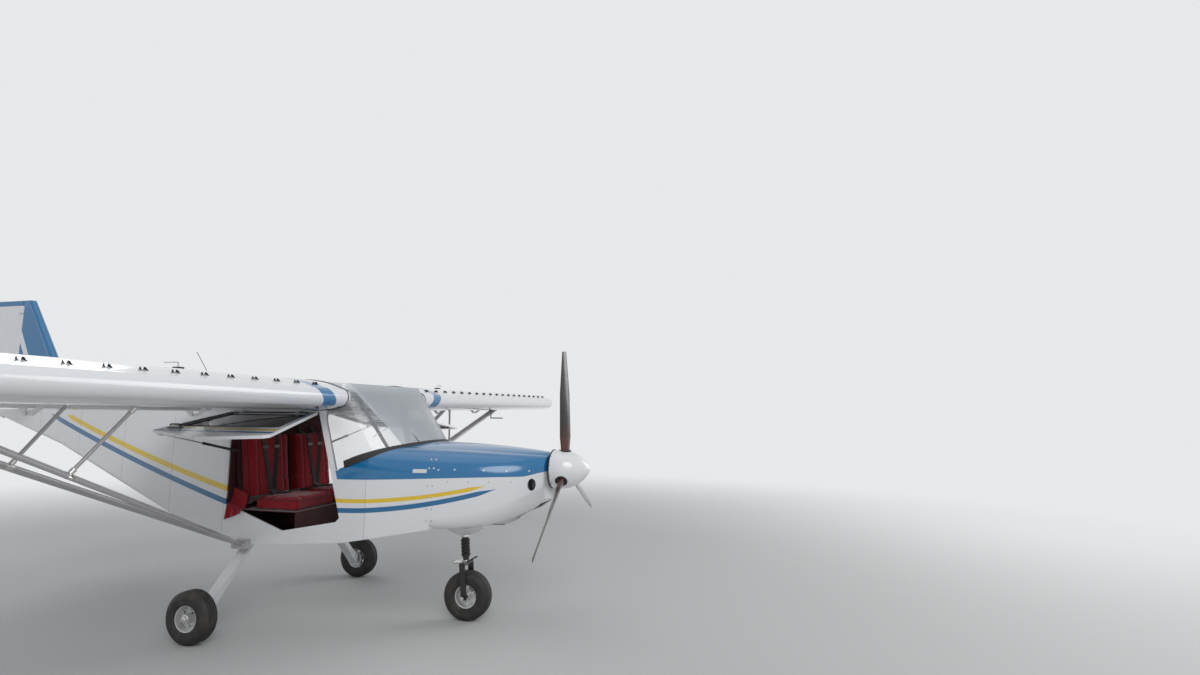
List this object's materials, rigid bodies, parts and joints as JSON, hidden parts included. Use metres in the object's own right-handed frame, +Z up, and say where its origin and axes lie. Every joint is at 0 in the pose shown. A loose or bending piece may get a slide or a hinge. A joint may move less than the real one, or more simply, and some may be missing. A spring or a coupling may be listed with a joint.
{
  "type": "microlight aircraft",
  "caption": "High-wing strut-braced two-seat microlight aircraft on tricycle gear, nose propeller, both doors swung up and open, moving wheels, doors and control surfaces.",
  "frame": {"origin": "centre of the bounding box on the ground under the aircraft", "axes": "+X to the nose, +Y to the left wing tip, +Z up"},
  "size_m": [6.14, 9, 2.5699],
  "materials": {
    "black_steel": "satin black",
    "blade_black": "satin dark composite",
    "blue_shell": "gloss blue moulding",
    "bright_steel": "polished rod",
    "clear_glass": "clear sheet",
    "door_metal": "gloss white paint",
    "engine_grey": "cast, plain",
    "panel_black": "matt black",
    "red_fabric": "dark red upholstery",
    "rim_metal": "painted cast rim",
    "seat_metal": "satin sheet",
    "strut_metal": "painted light grey",
    "trim_fabric": "dark red lining",
    "tyre_rubber": "ribbed tyre",
    "white_foil": "gloss white",
    "white_metal": "gloss white paint on sheet metal",
    "white_shell": "gloss white moulding"
  },
  "bodies": {
    "root": {"air_probe": "strut_metal", "antenna": "strut_metal", "belly": "white_metal", "cabin_side_left": "white_metal", "cabin_side_right": "white_metal", "control_stick": "black_steel", "cowl_lower": "white_shell", "cowl_upper": "blue_shell", "engine_block": "engine_grey", "engine_mount": "black_steel", "fin": "white_foil", "firewall": "white_metal", "instrument_panel": "panel_black", "main_gear": "strut_metal", "nose_deck": "blue_shell", "nose_fairing": "white_shell", "nose_leg": "black_steel", "rear_bulkhead": "trim_fabric", "roof_frame": "black_steel", "roof_skin": "white_metal", "roof_window": "clear_glass", "root_rib_left": "white_metal", "root_rib_right": "white_metal", "rudder_foot": "white_foil", "seat_back_left": "red_fabric", "seat_back_right": "red_fabric", "seat_cushion_left": "red_fabric", "seat_cushion_right": "red_fabric", "seat_pan": "seat_metal", "stabiliser_left": "white_foil", "stabiliser_right": "white_foil", "tail_cone": "white_metal", "tank_cap_left": "strut_metal", "tank_cap_right": "strut_metal", "windscreen": "clear_glass", "wing_left": "white_foil", "wing_right": "white_foil", "wing_struts_left": "strut_metal", "wing_struts_right": "strut_metal"},
    "propeller": {"propeller": "blade_black", "spinner": "white_shell"},
    "nose_fork": {"nose_fork": "black_steel"},
    "nose_wheel": {"nose_tyre": "tyre_rubber", "nose_rim": "rim_metal"},
    "elevator": {"elevator": "white_foil"},
    "rudder": {"rudder": "white_foil"},
    "main_wheel_right": {"main_tyre_right": "tyre_rubber", "main_rim_right": "rim_metal"},
    "flaperon_right": {"flaperon_right": "white_foil"},
    "door_right": {"door_right": "door_metal", "door_glass_right": "clear_glass"},
    "gas_barrel_right": {"gas_barrel_right": "black_steel"},
    "gas_rod_right": {"gas_rod_right": "bright_steel"},
    "main_wheel_left": {"main_tyre_left": "tyre_rubber", "main_rim_left": "rim_metal"},
    "flaperon_left": {"flaperon_left": "white_foil"},
    "door_left": {"door_left": "door_metal", "door_glass_left": "clear_glass"},
    "gas_barrel_left": {"gas_barrel_left": "black_steel"},
    "gas_rod_left": {"gas_rod_left": "bright_steel"}
  },
  "joints": [
    {"name": "propeller_spin", "type": "hinge", "parent": "root", "child": "propeller", "pos_m": [2.88, 0, 1.14], "axis": [1, 0, 0], "continuous": true},
    {"name": "nose_steer", "type": "hinge", "parent": "root", "child": "nose_fork", "pos_m": [2.127, 0, 0.181], "axis": [-0.0872, 0, 0.9962], "range_deg": [-20, 20]},
    {"name": "nose_wheel_spin", "type": "hinge", "parent": "nose_fork", "child": "nose_wheel", "pos_m": [2.127, 0, 0.181], "axis": [0, 1, 0], "continuous": true},
    {"name": "elevator_hinge", "type": "hinge", "parent": "root", "child": "elevator", "pos_m": [-2.34, 0, 1.585], "axis": [0, 1, 0], "range_deg": [-25, 25]},
    {"name": "rudder_hinge", "type": "hinge", "parent": "root", "child": "rudder", "pos_m": [-2.532, 0, 1.56], "axis": [0, 0, 1], "range_deg": [-25, 25]},
    {"name": "main_wheel_right_spin", "type": "hinge", "parent": "root", "child": "main_wheel_right", "pos_m": [0.571, -0.961, 0.176], "axis": [0, 1, 0], "continuous": true},
    {"name": "flaperon_right_hinge", "type": "hinge", "parent": "root", "child": "flaperon_right", "pos_m": [0.246, -0.57, 1.515], "axis": [0, 1, -0.0087], "range_deg": [-35, 12]},
    {"name": "door_right_hinge", "type": "hinge", "parent": "root", "child": "door_right", "pos_m": [0.88, -0.57, 1.55], "axis": [1, 0, 0], "range_deg": [0, 79.3]},
    {"name": "gas_barrel_right_pivot", "type": "hinge", "parent": "root", "child": "gas_barrel_right", "pos_m": [0.452, -0.533, 1.25], "axis": [1, 0, 0], "range_deg": [0, 102.09]},
    {"name": "gas_rod_right_slide", "type": "slide", "parent": "gas_barrel_right", "child": "gas_rod_right", "axis": [0, -0.9773, 0.2117], "range_m": [-0.3357, 0]},
    {"name": "main_wheel_left_spin", "type": "hinge", "parent": "root", "child": "main_wheel_left", "pos_m": [0.571, 0.961, 0.176], "axis": [0, 1, 0], "continuous": true},
    {"name": "flaperon_left_hinge", "type": "hinge", "parent": "root", "child": "flaperon_left", "pos_m": [0.246, 0.57, 1.515], "axis": [0, 1, 0.0087], "range_deg": [-35, 12]},
    {"name": "door_left_hinge", "type": "hinge", "parent": "root", "child": "door_left", "pos_m": [0.88, 0.57, 1.55], "axis": [-1, 0, 0], "range_deg": [0, 79.3]},
    {"name": "gas_barrel_left_pivot", "type": "hinge", "parent": "root", "child": "gas_barrel_left", "pos_m": [0.452, 0.533, 1.25], "axis": [-1, 0, 0], "range_deg": [0, 102.09]},
    {"name": "gas_rod_left_slide", "type": "slide", "parent": "gas_barrel_left", "child": "gas_rod_left", "axis": [0, 0.9773, 0.2117], "range_m": [-0.3357, 0]}
  ],
  "couplings": [
    {"joint": "gas_barrel_right_pivot", "follows": "door_right_hinge", "ratio": 1.2849},
    {"joint": "gas_rod_right_slide", "follows": "door_right_hinge", "m_per_rad": -0.24183},
    {"joint": "gas_barrel_left_pivot", "follows": "door_left_hinge", "ratio": 1.2849},
    {"joint": "gas_rod_left_slide", "follows": "door_left_hinge", "m_per_rad": -0.24183}
  ]
}
